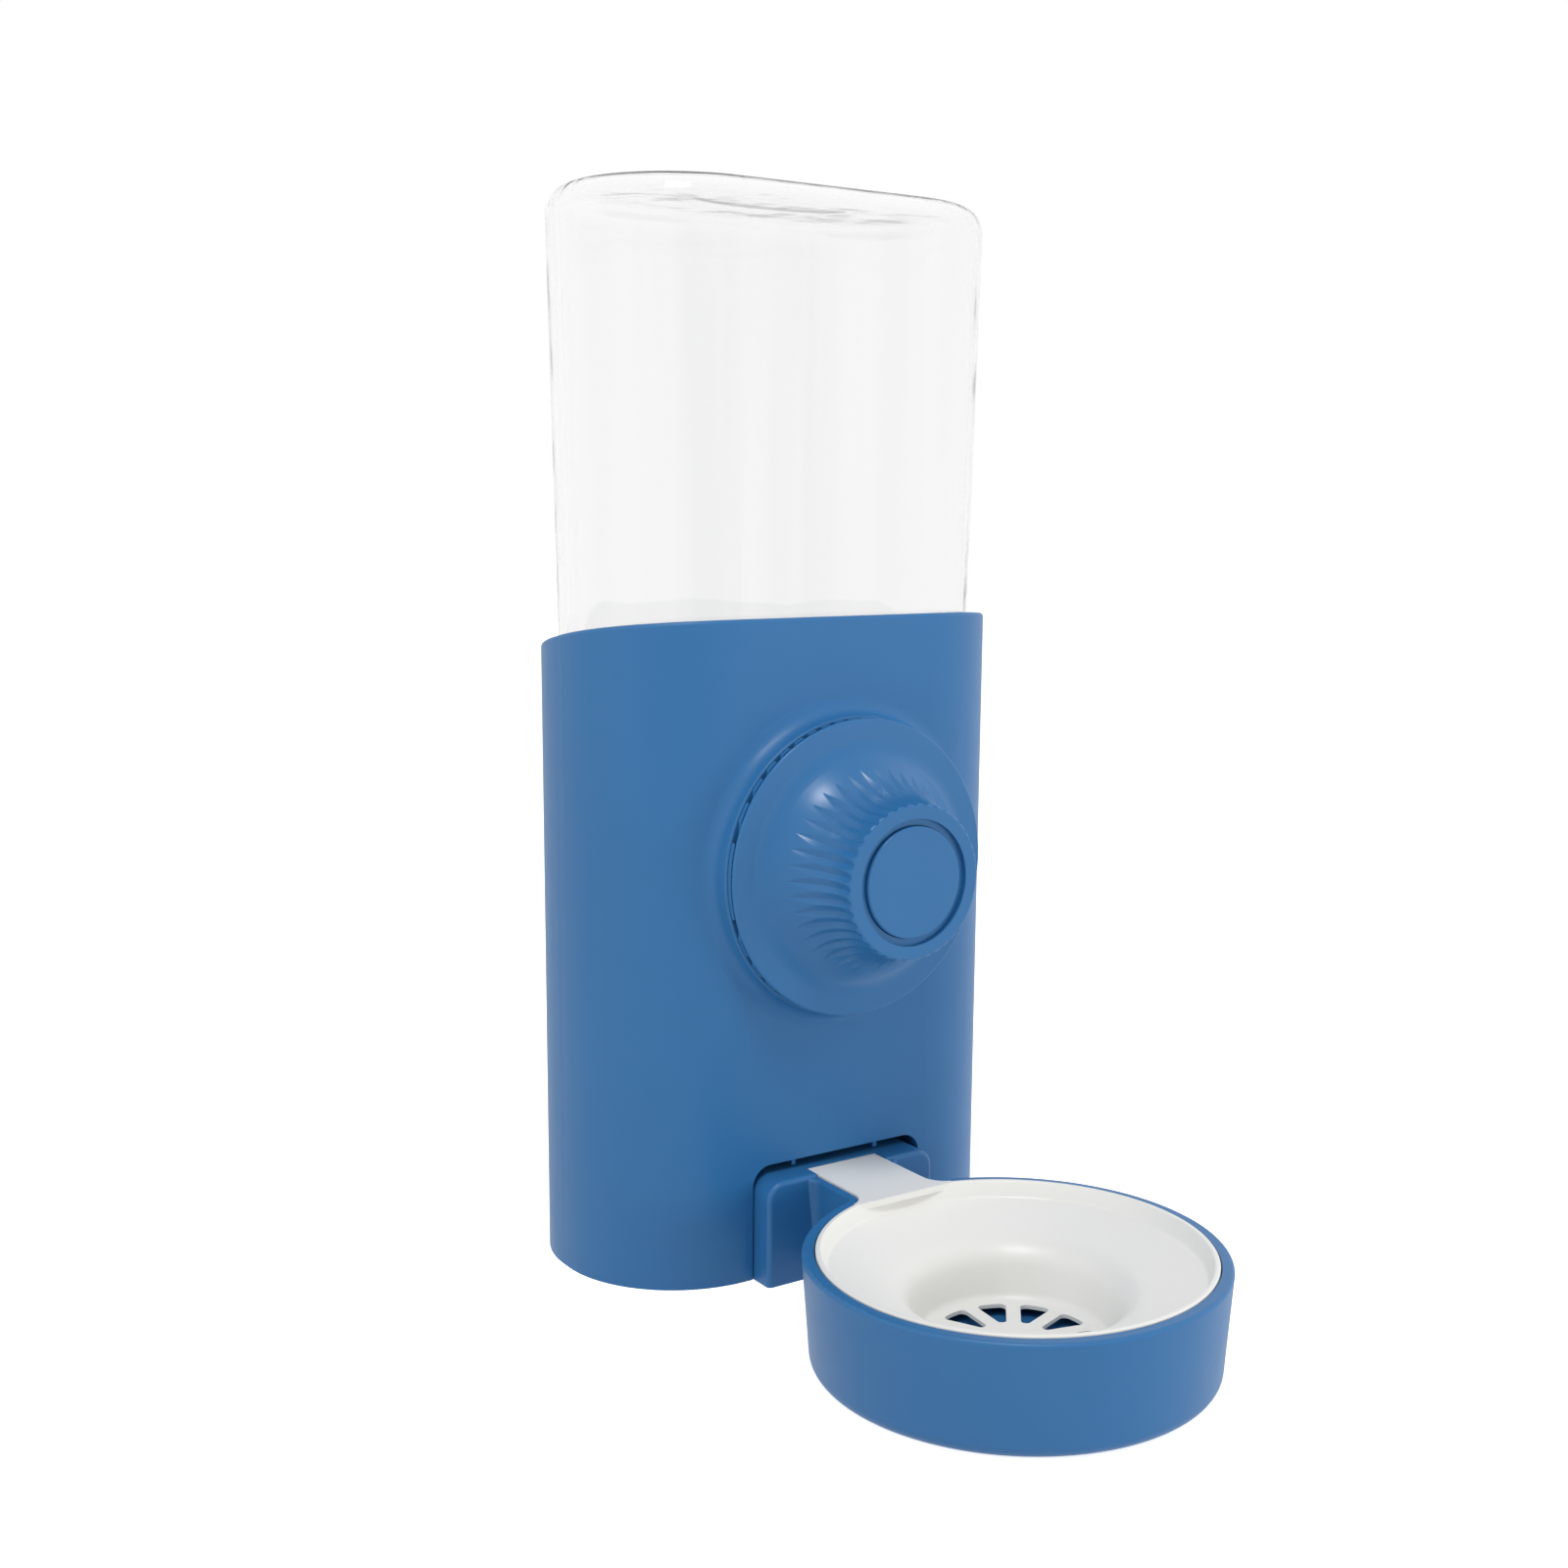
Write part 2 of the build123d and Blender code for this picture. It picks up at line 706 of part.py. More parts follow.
# spring cage: foot ring on the cap's plate, legs and a disc that guides the stem
with BuildPart() as spring_cage:
    with BuildSketch(Plane.XY.offset(cap_floor)):
        Circle(cage_radius)
        Circle(cage_radius - cage_ring_width, mode=Mode.SUBTRACT)
    extrude(amount=cage_ring_height)
    with BuildSketch(Plane.XY.offset(cage_top)):
        Circle(cage_radius)
    extrude(amount=cage_top_thickness)
    with BuildSketch(Plane.XY.offset(cap_floor)):
        with PolarLocations(cage_radius - cage_leg_thickness / 2, cage_leg_count):
            Rectangle(cage_leg_thickness, cage_leg_width)
        Circle(cage_radius, mode=Mode.INTERSECT)
    extrude(amount=cage_top - cap_floor)
    with BuildSketch(Plane.XY.offset(cage_top)):
        Circle(stem_radius + slide_gap)
    extrude(amount=cage_top_thickness, mode=Mode.SUBTRACT)

write_part(spring_cage.part, "spring_cage")
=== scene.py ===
import math

import bmesh
import bpy
from mathutils import Matrix, Vector


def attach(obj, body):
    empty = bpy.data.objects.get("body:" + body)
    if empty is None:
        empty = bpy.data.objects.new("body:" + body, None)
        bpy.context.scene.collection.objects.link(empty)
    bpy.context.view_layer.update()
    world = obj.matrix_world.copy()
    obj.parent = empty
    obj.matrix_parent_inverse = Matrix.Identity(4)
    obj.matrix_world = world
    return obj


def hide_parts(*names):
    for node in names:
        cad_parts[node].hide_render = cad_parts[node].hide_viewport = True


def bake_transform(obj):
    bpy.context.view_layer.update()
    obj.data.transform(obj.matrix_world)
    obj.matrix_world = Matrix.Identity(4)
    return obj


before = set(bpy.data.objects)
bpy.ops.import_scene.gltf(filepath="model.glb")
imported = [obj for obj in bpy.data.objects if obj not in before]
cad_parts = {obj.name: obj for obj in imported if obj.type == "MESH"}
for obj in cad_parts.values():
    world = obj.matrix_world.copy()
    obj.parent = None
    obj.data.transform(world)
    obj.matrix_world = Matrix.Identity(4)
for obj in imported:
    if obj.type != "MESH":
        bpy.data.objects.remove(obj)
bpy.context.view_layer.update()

# The view: a studio camera a little above the housing's rim, looking slightly down across the
# front from its left. Its place, lens and shift give the photograph's perspective.
photo_size = 1600
view_place = (-0.266146, -0.417217, 0.190581)
view_yaw = math.radians(-34.702)
view_pitch = math.radians(6.644)
view_roll = math.radians(0.525)
view_focal_pixels = 1970.7
view_centre = (857.97, 735.16)
forward = Vector(
    (
        -math.sin(view_yaw) * math.cos(view_pitch),
        math.cos(view_yaw) * math.cos(view_pitch),
        -math.sin(view_pitch),
    )
)
level_right = Vector((math.cos(view_yaw), math.sin(view_yaw), 0))
level_up = level_right.cross(forward)
right = math.cos(view_roll) * level_right + math.sin(view_roll) * level_up
up = math.cos(view_roll) * level_up - math.sin(view_roll) * level_right
view_turn = Matrix((right, up, -forward)).transposed().to_4x4()
lens = bpy.data.cameras.new("studio_camera")
lens.sensor_width = 36
lens.lens = lens.sensor_width * view_focal_pixels / photo_size
lens.shift_x = (photo_size / 2 - view_centre[0]) / photo_size
lens.shift_y = (view_centre[1] - photo_size / 2) / photo_size
lens.clip_start = 0.01
camera = bpy.data.objects.new("studio_camera", lens)
camera.matrix_world = Matrix.Translation(view_place) @ view_turn
bpy.context.scene.collection.objects.link(camera)
bpy.context.scene.camera = camera
bpy.context.scene.view_settings.view_transform = "Standard"

# Housing: open oval shell with a boss for the clamp and a pocket for the tray, one moulding in
# satin blue polypropylene. The mould leaves a faint spark-eroded grain on it, and the flow of
# the plastic a slight cloudiness.
blue = (0.0225, 0.136, 0.333)


class Signal:
    """One output of a shader node, used in Python arithmetic like a number."""

    def __init__(self, nodes, socket):
        self.nodes = nodes
        self.socket = socket

    def math(self, operation, *values):
        return self.nodes.add(
            "ShaderNodeMath", {"operation": operation}, dict(enumerate(values))
        )

    def __add__(self, other):
        return self.math("ADD", self, other)

    def __radd__(self, other):
        return self.math("ADD", other, self)

    def __sub__(self, other):
        return self.math("SUBTRACT", self, other)

    def __rsub__(self, other):
        return self.math("SUBTRACT", other, self)

    def __mul__(self, other):
        return self.math("MULTIPLY", self, other)

    def __rmul__(self, other):
        return self.math("MULTIPLY", other, self)

    def __abs__(self):
        return self.math("ABSOLUTE", self)


class Nodes:
    """A tree of shader nodes, all added by one method."""

    def __init__(self, tree):
        self.tree = tree

    def add(self, kind, settings, sockets, output=0):
        node = self.tree.nodes.new(kind)
        for name, value in settings.items():
            setattr(node, name, value)
        for key, value in sockets.items():
            self.put(node.inputs[key], value)
        return Signal(self, node.outputs[output])

    def put(self, socket, value):
        if isinstance(value, Signal):
            self.tree.links.new(value.socket, socket)
        else:
            socket.default_value = value


class Paint(Nodes):
    """A material with one surface shader, its constants on the shader's own sockets."""

    def __init__(self, name, colour, constants):
        self.material = bpy.data.materials.new(name)
        self.material.use_nodes = True
        super().__init__(self.material.node_tree)
        self.shader = self.tree.nodes["Principled BSDF"]
        self.feed("Base Color", (*colour, 1))
        for name, value in constants.items():
            self.feed(name, value)

    def feed(self, name, value):
        self.put(self.shader.inputs[name], value)

    def place(self):
        return self.add("ShaderNodeTexCoord", {}, {}, "Object")

    def noise(self, scale, detail, place=None):
        return self.add(
            "ShaderNodeTexNoise",
            {},
            {"Vector": place or self.place(), "Scale": scale, "Detail": detail},
        )

    def bump(self, height, strength, distance):
        return self.add(
            "ShaderNodeBump", {}, {"Height": height, "Strength": strength, "Distance": distance}
        )

    def mix(self, factor, first, second):
        """Blend of two colours, which are a colour node's sockets 6 and 7 and its output 2."""
        colours = [
            value if isinstance(value, Signal) else (*value, 1) for value in (first, second)
        ]
        sockets = {0: factor, 6: colours[0], 7: colours[1]}
        return self.add("ShaderNodeMix", {"data_type": "RGBA"}, sockets, 2)


def blue_plastic(name, roughness, grain):
    paint = Paint(name, blue, {"Specular IOR Level": 0.42, "IOR": 1.49})
    cloud = paint.noise(scale=22, detail=3)
    paint.feed("Base Color", paint.mix(cloud, [c * 0.93 for c in blue], [c * 1.07 for c in blue]))
    paint.feed("Roughness", roughness + 0.08 * (paint.noise(scale=160, detail=4) - 0.5))
    bump = paint.bump(paint.noise(scale=2600, detail=3), strength=grain, distance=0.00004)
    paint.feed("Normal", bump)
    return paint.material


def finish_node(node, material):
    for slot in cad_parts[node].material_slots:
        slot.material = material


finish_node("housing", blue_plastic("housing_blue", roughness=0.42, grain=0.25))

# Clamp screw: white moulded stud whose hexagon head is held in the boss from inside. A coarse
# thread is cut round it, broken by the two flats on which the clamp ring slides.
millimetre = 0.001
white = (0.79, 0.785, 0.755)
screw_start = -60.3
screw_end = -36.5
screw_axis_height = 101.2
screw_lead = 4.0
groove_coil_radius = 7.1
groove_half = 0.9
steps_per_turn = 32


def white_plastic(name, roughness):
    paint = Paint(name, white, {"Specular IOR Level": 0.5, "IOR": 1.5})
    paint.feed("Roughness", roughness + 0.06 * (paint.noise(scale=90, detail=3) - 0.5))
    bump = paint.bump(paint.noise(scale=700, detail=2), strength=0.12, distance=0.00004)
    paint.feed("Normal", bump)
    return paint.material


def new_object(name, mesh):
    made = bpy.data.objects.new(name, mesh)
    bpy.context.scene.collection.objects.link(made)
    return made


def node_copy(name, node):
    """Own copy of a node's mesh, its loose triangles merged."""
    shell = bmesh.new()
    shell.from_mesh(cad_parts[node].data)
    bmesh.ops.remove_doubles(shell, verts=shell.verts, dist=1e-6)
    mesh = bpy.data.meshes.new(name)
    shell.to_mesh(mesh)
    shell.free()
    return new_object(name, mesh)


def settle(piece):
    """Makes a piece the plain mesh that its modifiers give."""
    bpy.context.view_layer.update()
    whole = piece.evaluated_get(bpy.context.evaluated_depsgraph_get())
    mesh = bpy.data.meshes.new_from_object(whole)
    piece.modifiers.clear()
    piece.data = mesh


def combine(piece, tool, operation):
    """Joins or cuts a piece with a tool, which is then removed."""
    step = piece.modifiers.new("combine", "BOOLEAN")
    step.operation = operation
    step.object = tool
    step.solver = "EXACT"
    settle(piece)
    bpy.data.objects.remove(tool)


def dress(piece, material, sharp_above):
    """Gives a piece its material, and smooth shading but for edges above an angle in degrees."""
    piece.data.materials.clear()
    piece.data.materials.append(material)
    piece.data.shade_smooth()
    piece.data.set_sharp_from_angle(angle=math.radians(sharp_above))


class Growth(Nodes):
    """A geometry tree with named sizes, which grows into one plain mesh object."""

    def __init__(self, name, sizes, mesh=None):
        super().__init__(bpy.data.node_groups.new(name, "GeometryNodeTree"))
        self.name = name
        self.sizes = sizes
        self.mesh = mesh or bpy.data.meshes.new(name)
        if mesh:
            self.open_socket("Geometry", "INPUT", "Geometry")
        self.keys = {
            label: self.open_socket(label, "INPUT", "Int" if isinstance(value, int) else "Float")
            for label, value in sizes.items()
        }
        self.open_socket("Geometry", "OUTPUT", "Geometry")
        self.source = self.tree.nodes.new("NodeGroupInput")

    def open_socket(self, label, side, kind):
        socket = self.tree.interface.new_socket(
            label, in_out=side, socket_type="NodeSocket" + kind
        )
        return socket.identifier

    def given(self, label):
        return Signal(self, self.source.outputs[label])

    def grow(self, shape, material):
        whole = self.add("GeometryNodeRealizeInstances", {}, {"Geometry": shape})
        dressed = self.add(
            "GeometryNodeSetMaterial", {}, {"Geometry": whole, "Material": material}
        )
        self.put(self.tree.nodes.new("NodeGroupOutput").inputs[0], dressed)
        made = new_object(self.name, self.mesh)
        step = made.modifiers.new("grown", "NODES")
        step.node_group = self.tree
        for label, value in self.sizes.items():
            step[self.keys[label]] = value
        settle(made)
        return made


def helix(name, material, sides, coil_radius, wire_radius, height, turns):
    """Wire of a few sides, wound about Z from z = 0 up."""
    sizes = {
        "Coil Radius": coil_radius * millimetre,
        "Wire Radius": wire_radius * millimetre,
        "Height": height * millimetre,
        "Turns": turns,
    }
    growth = Growth(name, sizes)
    line = growth.add(
        "GeometryNodeCurveSpiral",
        {},
        {
            "Resolution": steps_per_turn,
            "Rotations": growth.given("Turns"),
            "Start Radius": growth.given("Coil Radius"),
            "End Radius": growth.given("Coil Radius"),
            "Height": growth.given("Height"),
        },
    )
    ring = growth.add(
        "GeometryNodeCurvePrimitiveCircle",
        {},
        {"Resolution": sides, "Radius": growth.given("Wire Radius")},
    )
    wound = growth.add(
        "GeometryNodeCurveToMesh", {}, {"Curve": line, "Profile Curve": ring, "Fill Caps": True}
    )
    return growth.grow(wound, material)


stud_white = white_plastic("clamp_screw_white", roughness=0.4)
stud = node_copy("threaded_stud", "clamp_screw")
groove = helix(
    "stud_groove",
    stud_white,
    sides=4,
    coil_radius=groove_coil_radius,
    wire_radius=groove_half,
    height=screw_end - screw_start,
    turns=(screw_end - screw_start) / screw_lead,
)
groove.data.transform(
    Matrix.Translation((0, screw_end * millimetre, screw_axis_height * millimetre))
    @ Matrix.Rotation(math.radians(90), 4, "X")
)
combine(stud, groove, "DIFFERENCE")
dress(stud, stud_white, sharp_above=25)
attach(stud, "housing")
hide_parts("clamp_screw")

# Clamp ring: thin blue moulding with upright ribs, which holds the wires of a cage against the
# boss. It slides on the flats of the stud, pushed by the knob's disc.
finish_node("clamp_ring", blue_plastic("ring_blue", roughness=0.45, grain=0.25))

# Knob: disc and fluted trumpet grip in one blue moulding, glossier than the housing from a
# smoother mould. A turned brass nut is pressed into it from the front, and a small blue cap
# closes the recess.
finish_node("knob", blue_plastic("knob_blue", roughness=0.31, grain=0.18))
finish_node("knob_cap", blue_plastic("knob_cap_blue", roughness=0.34, grain=0.18))
brass = Paint("knob_nut_brass", (0.62, 0.42, 0.16), {"Metallic": 1.0})
brass.feed("Roughness", 0.31 + 0.14 * (brass.noise(scale=420, detail=3) - 0.5))
finish_node("knob_nut", brass.material)

# Tray: reservoir block, neck and round bowl in one blue moulding, pushed up into its pocket.
# The block stands on square edges, rounded only at its upright corners: a sole and two strips
# up its sides, a hair proud of it, finish its foot.
proud = 0.02
foot_half = 24.6 + proud
foot_front = -40.0 - proud
foot_rear = 23.6 + proud
foot_floor = 1.9
foot_wall = 22.7
foot_rise = 4.7
foot_bend = 1.2
corner_low = 0.01
corner_depth = 2
corner_inner = 19


def rounded(corners, steps=8):
    """Points of a closed outline whose corners, given as (x, y, radius), are rounded."""
    points = []
    for index, (x, y, radius) in enumerate(corners):
        here = Vector((x, y))
        if radius == 0:
            points.append(here)
            continue
        back = (Vector(corners[index - 1][:2]) - here).normalized()
        ahead = (Vector(corners[(index + 1) % len(corners)][:2]) - here).normalized()
        half = back.angle(ahead) / 2
        centre = here + (back + ahead).normalized() * radius / math.sin(half)
        start = here + back * radius / math.tan(half) - centre
        turn = start.angle_signed(here + ahead * radius / math.tan(half) - centre)
        for step in range(steps + 1):
            points.append(centre + Matrix.Rotation(-turn * step / steps, 2) @ start)
    return points


def shell_object(name, points, faces):
    """Closed shell at the origin from points in millimetres, its faces turned outwards."""
    mesh = bpy.data.meshes.new(name)
    mesh.from_pydata([Vector(point) * millimetre for point in points], [], faces)
    shell = bmesh.new()
    shell.from_mesh(mesh)
    bmesh.ops.remove_doubles(shell, verts=shell.verts, dist=1e-6)
    bmesh.ops.recalc_face_normals(shell, faces=shell.faces)
    shell.to_mesh(mesh)
    shell.free()
    return new_object(name, mesh)


def prism(name, outline, low, high):
    """Upright prism over an outline of (x, y) points."""
    count = len(outline)
    points = [(x, y, z) for z in (low, high) for x, y in outline]
    faces = [tuple(range(count - 1, -1, -1)), tuple(range(count, 2 * count))]
    faces += [(i, (i + 1) % count, count + (i + 1) % count, count + i) for i in range(count)]
    return shell_object(name, points, faces)


tray_blue = blue_plastic("tray_blue", roughness=0.40, grain=0.22)
finish_node("bowl_tray", tray_blue)
sole = [
    (foot_half, foot_front, foot_bend),
    (foot_half, foot_rear, foot_bend),
    (-foot_half, foot_rear, foot_bend),
    (-foot_half, foot_front, foot_bend),
]
tray_foot = prism("tray_foot", rounded(sole), 0, foot_floor)
for side in (-1, 1):
    corner = [
        (side * foot_half, foot_front, foot_bend),
        (side * foot_half, foot_rear, foot_bend),
        (side * foot_wall, foot_rear, 0),
        (side * foot_wall, foot_front + corner_depth, 0),
        (side * corner_inner, foot_front + corner_depth, 0),
        (side * corner_inner, foot_front, 0),
    ]
    combine(tray_foot, prism("foot_corner", rounded(corner), corner_low, foot_rise), "UNION")
dress(tray_foot, tray_blue, sharp_above=32)
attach(tray_foot, "tray")

# Dish: white moulded shell with a softly rounded well, its thin floor pierced by a ring of
# sectors. It is turned from a profile, joined to its tongue and cut, and lies in the bowl.
dish_centre = Vector((0, -102.8, 0))
dish_facets = 144
dish_rim = 44.4
dish_top = 25.66
rim_foot = 20.3
well_floor = 5.0
well_underside = 4.1
tongue_half = 10.2
tongue_end = -34.9
tongue_thickness = 1.6
tongue_overlap = 1.0
flare_radius = 6.0
flare_steps = 8
hole_count = 11
hole_inner = 8.8
hole_outer = 18.6
hole_inner_bend = 1.0
hole_outer_bend = 1.3
hole_turn = math.radians(2.2)
spoke_half = 1.65
cutter_low = 3
cutter_high = 6


def turned(name, outline, centre, steps):
    """Solid of revolution about an upright axis, from an outline of (radius, height) points."""
    points = []
    for step in range(steps):
        angle = 2 * math.pi * step / steps
        for radius, height in outline:
            spoke = Vector((radius * math.cos(angle), radius * math.sin(angle), height))
            points.append(centre + spoke)
    count = len(outline)
    faces = [
        (
            step * count + index,
            step * count + (index + 1) % count,
            (step + 1) % steps * count + (index + 1) % count,
            (step + 1) % steps * count + index,
        )
        for step in range(steps)
        for index in range(count)
    ]
    return shell_object(name, points, faces)


# Each corner is (radius, height, bend), from the well's middle out and back underneath.
dish_profile = [
    (0, well_floor, 0),
    (20.8, well_floor, 2.6),
    (24.5, 16.2, 8.5),
    (41.9, 21.9, 1.2),
    (43.2, dish_top, 0.5),
    (dish_rim, dish_top, 0.4),
    (dish_rim, rim_foot, 0),
    (41.7, rim_foot, 0),
    (25.9, 14.6, 7.0),
    (22.1, well_underside, 1.6),
    (0, well_underside, 0),
]
dish = turned("dish", rounded(dish_profile), dish_centre, dish_facets)

flare_x = tongue_half + flare_radius
flare_y = dish_centre.y + math.sqrt((dish_rim + flare_radius) ** 2 - flare_x**2)
flare_reach = math.atan2(flare_y - dish_centre.y, flare_x)
tongue_side = [(tongue_half, tongue_end)]
for step in range(flare_steps + 1):
    turn = flare_reach * step / flare_steps
    side_x = flare_x - flare_radius * math.cos(turn)
    side_y = flare_y - flare_radius * math.sin(turn)
    tongue_side.append((side_x, side_y))
seat = (dish_rim - tongue_overlap) / dish_rim
tongue_side.append((side_x * seat, dish_centre.y + (side_y - dish_centre.y) * seat))
tongue_outline = tongue_side + [(-x, y) for x, y in reversed(tongue_side)]
tongue = prism("dish_tongue", tongue_outline, dish_top - tongue_thickness, dish_top)
combine(dish, tongue, "UNION")

inner_reach = math.pi / hole_count - math.asin(spoke_half / hole_inner)
outer_reach = math.pi / hole_count - math.asin(spoke_half / hole_outer)
hole_corners = [
    (hole_inner, -inner_reach, hole_inner_bend),
    (hole_inner, inner_reach, hole_inner_bend),
    (hole_outer, outer_reach, hole_outer_bend),
    (hole_outer, outer_reach / 2, 0),
    (hole_outer, 0, 0),
    (hole_outer, -outer_reach / 2, 0),
    (hole_outer, -outer_reach, hole_outer_bend),
]
hole_points = [
    (radius * math.cos(turn), radius * math.sin(turn), bend)
    for radius, turn, bend in hole_corners
]
hole_outline = rounded(hole_points, steps=5)
cutter = prism("hole_cutter", hole_outline, cutter_low, cutter_high)
hole_sizes = {"Count": hole_count, "Pitch": 2 * math.pi / hole_count, "Turn": hole_turn}
holes = Growth("dish_holes", hole_sizes, cutter.data)
middle = holes.add(
    "GeometryNodeMeshLine", {}, {"Count": holes.given("Count"), "Offset": (0, 0, 0)}
)
number = holes.add("GeometryNodeInputIndex", {}, {})
turn = number * holes.given("Pitch") + holes.given("Turn")
rotation = holes.add("ShaderNodeCombineXYZ", {}, {"Z": turn})
ring_of_holes = holes.add(
    "GeometryNodeInstanceOnPoints",
    {},
    {"Points": middle, "Instance": holes.given("Geometry"), "Rotation": rotation},
)
dish_white = white_plastic("dish_white", roughness=0.36)
dish_holes = holes.grow(ring_of_holes, dish_white)
dish_holes.data.transform(Matrix.Translation(dish_centre * millimetre))
bpy.data.objects.remove(cutter)
combine(dish, dish_holes, "DIFFERENCE")
dress(dish, dish_white, sharp_above=32)
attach(dish, "dish")
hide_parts("bowl_dish")

# Bottle: blow-moulded clear plastic with faint upright streaks of the blowing. Its crown and
# sides are painted paler, a painted lightening of the dark edges that refraction draws there.
# It stands on its neck, round which one raised thread turns inside the cap.
clear = (0.945, 0.946, 0.946)
streak_scale = (95, 95, 3.5)
streak_dark = (0.930, 0.931, 0.932)
streak_pale = (0.957, 0.957, 0.956)
# Colour of the painted paleness, which lightens the dark edges of the crown and sides.
painted_pale_colour = (0.985, 0.985, 0.985)
crown_start = 257.5
crown_end = 262.5
side_start = 34
side_end = 57
# Strength of the painted paleness on the sides.
side_painted_paleness = 0.75
thread_coil_radius = 18.05
thread_half = 0.9
thread_low = 40.5
thread_height = 7.5
thread_turns = 2.0

bottle_paint = Paint("bottle_clear", clear, {"Transmission Weight": 1.0, "IOR": 1.46})


def rise(value, start, end, most=1.0):
    """Soft rise from 0 to its most while a value goes from start to end."""
    return bottle_paint.add(
        "ShaderNodeMapRange",
        {"interpolation_type": "SMOOTHSTEP"},
        {"Value": value, "From Min": start, "From Max": end, "To Max": most},
    )


upright = bottle_paint.add(
    "ShaderNodeMapping", {}, {"Vector": bottle_paint.place(), "Scale": streak_scale}
)
streaks = bottle_paint.noise(scale=1.0, detail=3, place=upright)
walls = bottle_paint.mix(rise(streaks, 0.32, 0.68), streak_dark, streak_pale)
point = {"Vector": bottle_paint.place()}
across = bottle_paint.add("ShaderNodeSeparateXYZ", {}, point, "X")
height = bottle_paint.add("ShaderNodeSeparateXYZ", {}, point, "Z")
# Masks of the painted paleness: the crown and the sides are painted lighter where refraction
# makes them look dark.
crown_painted_pale = rise(height, crown_start * millimetre, crown_end * millimetre)
sides = rise(abs(across), side_start * millimetre, side_end * millimetre, side_painted_paleness)
painted_pale_mask = crown_painted_pale.math("MAXIMUM", crown_painted_pale, sides)
bottle_paint.feed("Base Color", bottle_paint.mix(painted_pale_mask, walls, painted_pale_colour))
bottle_paint.feed("Roughness", 0.015 + 0.02 * bottle_paint.noise(scale=30, detail=2))
waves = bottle_paint.noise(scale=34, detail=2) + 0.4 * streaks
bottle_paint.feed("Normal", bottle_paint.bump(waves, strength=0.3, distance=0.00055))
finish_node("bottle", bottle_paint.material)

neck_thread = helix(
    "neck_thread",
    bottle_paint.material,
    sides=8,
    coil_radius=thread_coil_radius,
    wire_radius=thread_half,
    height=thread_height,
    turns=thread_turns,
)
neck_thread.data.transform(Matrix.Translation((0, 0, thread_low * millimetre)))
dress(neck_thread, bottle_paint.material, sharp_above=50)
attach(neck_thread, "bottle")

# Bottle cap: white moulded screw cap with the valve's port and its spout. A flat ring of pale
# soft rubber lies in it and seals it on the bottle's neck.
def rubber(name, colour):
    paint = Paint(name, colour, {"Specular IOR Level": 0.3})
    paint.feed("Roughness", 0.7 + 0.15 * paint.noise(scale=500, detail=3))
    bump = paint.bump(paint.noise(scale=1800, detail=3), strength=0.3, distance=0.00005)
    paint.feed("Normal", bump)
    return paint.material


finish_node("bottle_cap", white_plastic("bottle_cap_white", roughness=0.4))
finish_node("cap_gasket", rubber("gasket_pale", (0.52, 0.52, 0.49)))

# Valve: white moulded stem with a washer of black rubber that closes the cap's port, pushed
# down by a coil of stainless wire. The coil stands on the stem's flange and ends under the
# white cage, which is fixed on the cap.
spring_wire_radius = 0.4
spring_coil_radius = 5.0
spring_low = 42.0
spring_high = 54.0
spring_turns = 6.5

finish_node("valve_stem", white_plastic("valve_stem_white", roughness=0.4))
finish_node("valve_seal", rubber("seal_black", (0.02, 0.02, 0.02)))
finish_node("spring_cage", white_plastic("spring_cage_white", roughness=0.4))
steel = Paint("spring_steel", (0.55, 0.55, 0.56), {"Metallic": 1.0})
steel.feed("Roughness", 0.32 + 0.12 * (steel.noise(scale=900, detail=2) - 0.5))
spring = helix(
    "coil_spring",
    steel.material,
    sides=12,
    coil_radius=spring_coil_radius,
    wire_radius=spring_wire_radius,
    height=spring_high - spring_low - 2 * spring_wire_radius,
    turns=spring_turns,
)
spring_start = (spring_low + spring_wire_radius) * millimetre
spring.data.transform(Matrix.Translation((0, 0, spring_start)))
dress(spring, steel.material, sharp_above=60)
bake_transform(spring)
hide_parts("valve_spring")

# Studio: a white floor and world, and large soft lamps. What camera, mirrors and clear plastic
# see is plain white; the light that falls on the object is dimmer, so that nothing clips.
floor_half = 6
floor_glow = 0.75
world_light = 0.45


def seen_by(nodes, *rays):
    """1 for the named kinds of ray, 0 for the rays that light things."""
    seen = [nodes.add("ShaderNodeLightPath", {}, {}, ray) for ray in rays]
    total = seen[0]
    for more in seen[1:]:
        total = nodes.add(
            "ShaderNodeMath", {"operation": "ADD", "use_clamp": True}, {0: total, 1: more}
        )
    return total


def show_plain(nodes, end, rays, lit, plain):
    """Shows some kinds of ray the plain shader, and all others the one that lights things."""
    factor = seen_by(nodes, *rays)
    choice = nodes.add("ShaderNodeMixShader", {}, {"Fac": factor, 1: lit, 2: plain})
    nodes.put(nodes.tree.nodes[end].inputs["Surface"], choice)


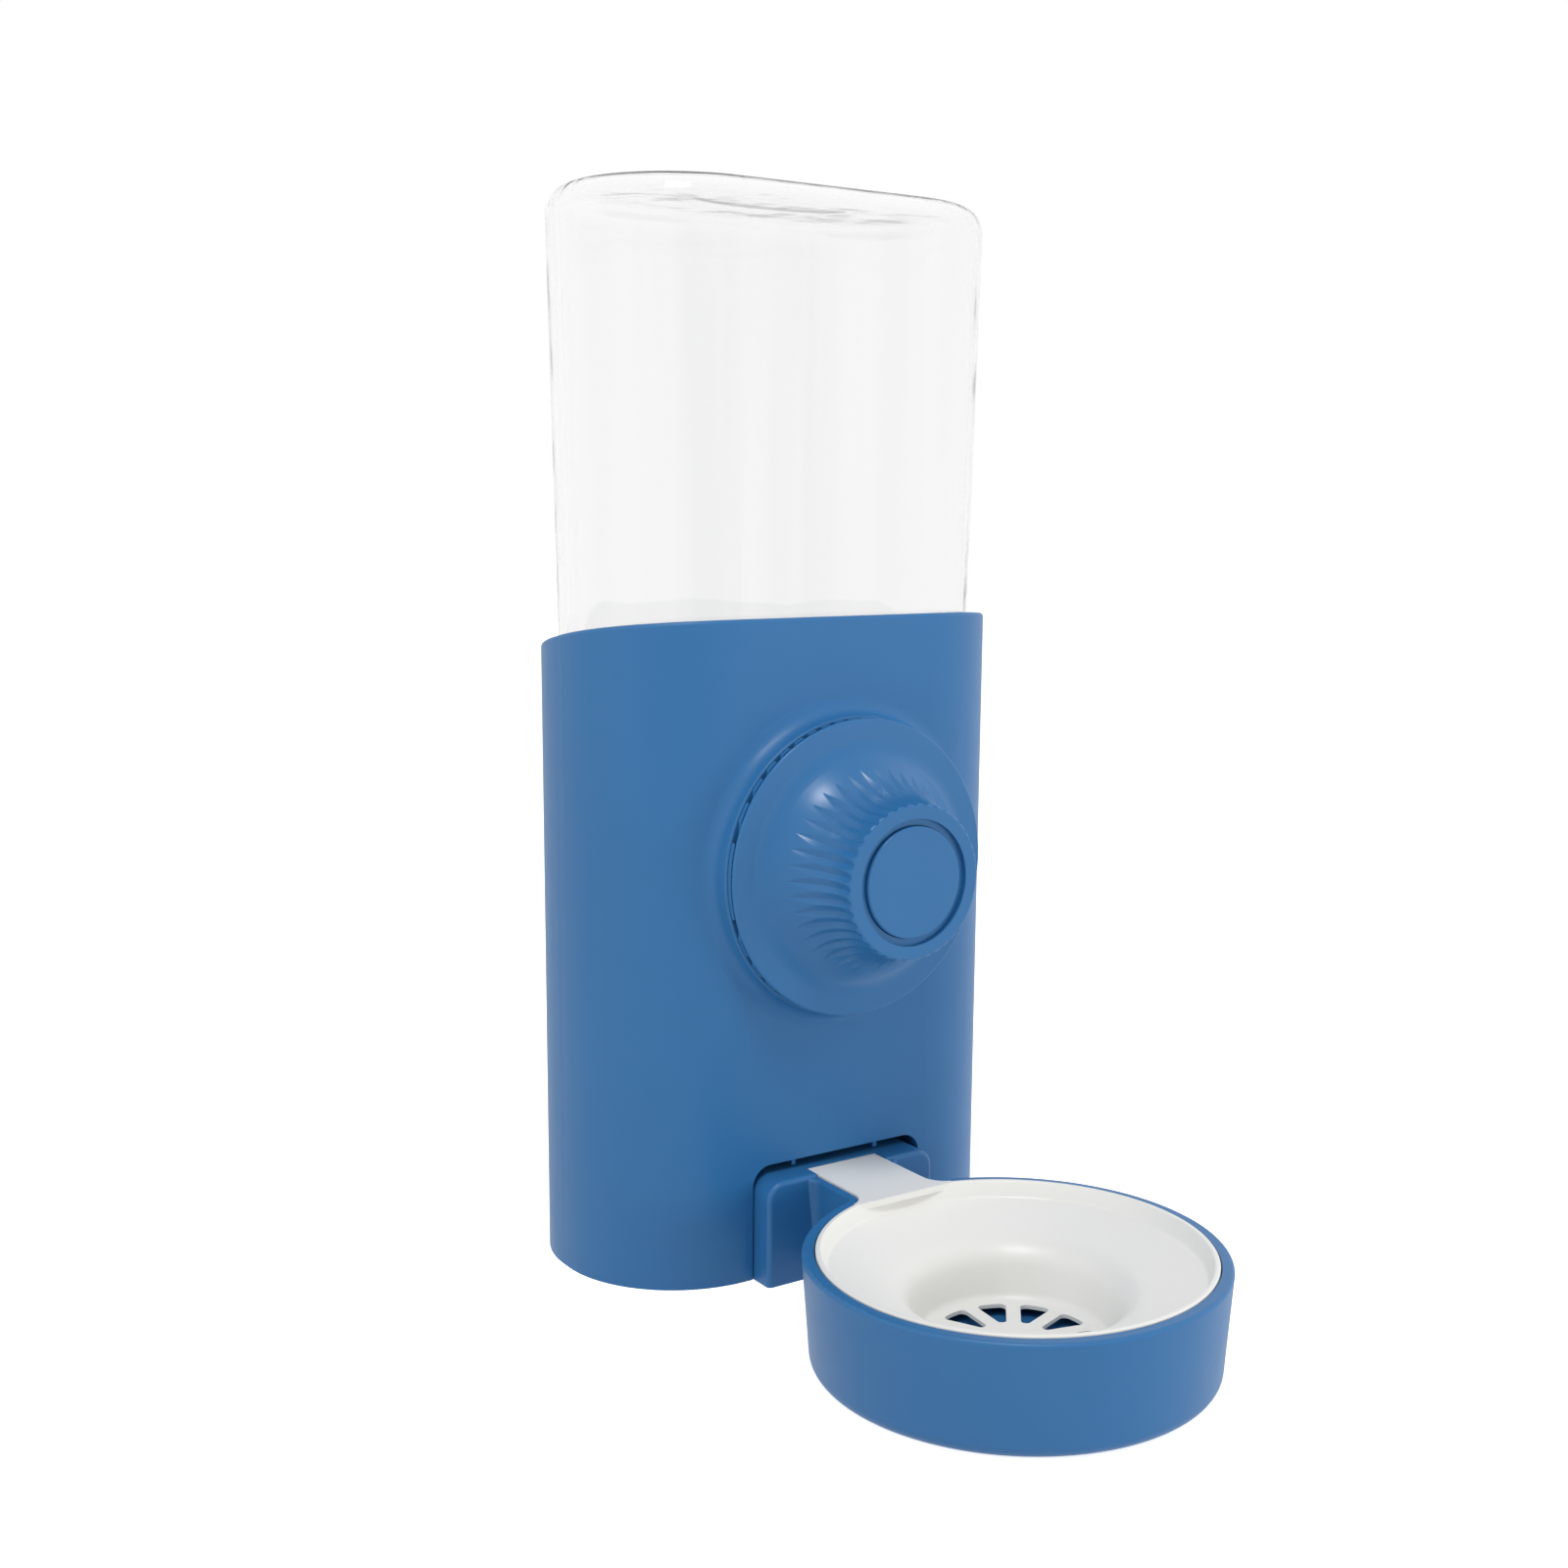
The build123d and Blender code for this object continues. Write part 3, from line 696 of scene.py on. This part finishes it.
floor_mesh = bpy.data.meshes.new("floor")
floor_mesh.from_pydata(
    [(x * floor_half, y * floor_half, 0) for x, y in ((-1, -1), (1, -1), (1, 1), (-1, 1))],
    [],
    [(0, 1, 2, 3)],
)
floor = new_object("floor", floor_mesh)
floor_paint = Paint(
    "floor_white",
    (0.92, 0.92, 0.92),
    {"Roughness": 0.9, "Specular IOR Level": 0.0, "Emission Strength": floor_glow},
)
floor_seen = seen_by(floor_paint, "Is Camera Ray")
floor_paint.feed("Emission Color", floor_paint.mix(floor_seen, (0, 0, 0), (1, 1, 1)))
show_plain(
    floor_paint,
    "Material Output",
    ("Is Glossy Ray", "Is Transmission Ray"),
    lit=Signal(floor_paint, floor_paint.shader.outputs["BSDF"]),
    plain=floor_paint.add("ShaderNodeEmission", {}, {}),
)
floor_mesh.materials.append(floor_paint.material)

world = bpy.data.worlds.new("studio")
world.use_nodes = True
bpy.context.scene.world = world
sky = Nodes(world.node_tree)
dim_sky, white_sky = [
    sky.add("ShaderNodeBackground", {}, {"Color": (1, 1, 1, 1), "Strength": strength})
    for strength in (world_light, 1.0)
]
show_plain(
    sky,
    "World Output",
    ("Is Camera Ray", "Is Glossy Ray", "Is Transmission Ray"),
    lit=dim_sky,
    plain=white_sky,
)


def lamp(name, size, power, place, target, mirrored=False):
    light = bpy.data.lights.new(name, "AREA")
    light.shape = "RECTANGLE"
    light.size, light.size_y = size
    light.energy = power
    holder = new_object(name, light)
    holder.location = place
    holder.rotation_euler = (Vector(target) - Vector(place)).to_track_quat("-Z", "Y").to_euler()
    holder.visible_glossy = mirrored
    holder.visible_transmission = mirrored


lamp("overhead_softbox", (0.26, 0.26), 5.0, (-0.30, -0.40, 1.15), (0, -0.05, 0.1), mirrored=True)
lamp("left_panel", (1.65, 1.65), 9.8, (-1.55, 0.0, 0.75), (0, -0.03, 0.10))
lamp("right_panel", (1.65, 1.65), 10.4, (1.55, -0.35, 0.75), (0, -0.03, 0.08))
lamp("front_fill", (0.9, 0.24), 2.6, (0.40, -0.85, 0.13), (0.02, -0.06, 0.03))
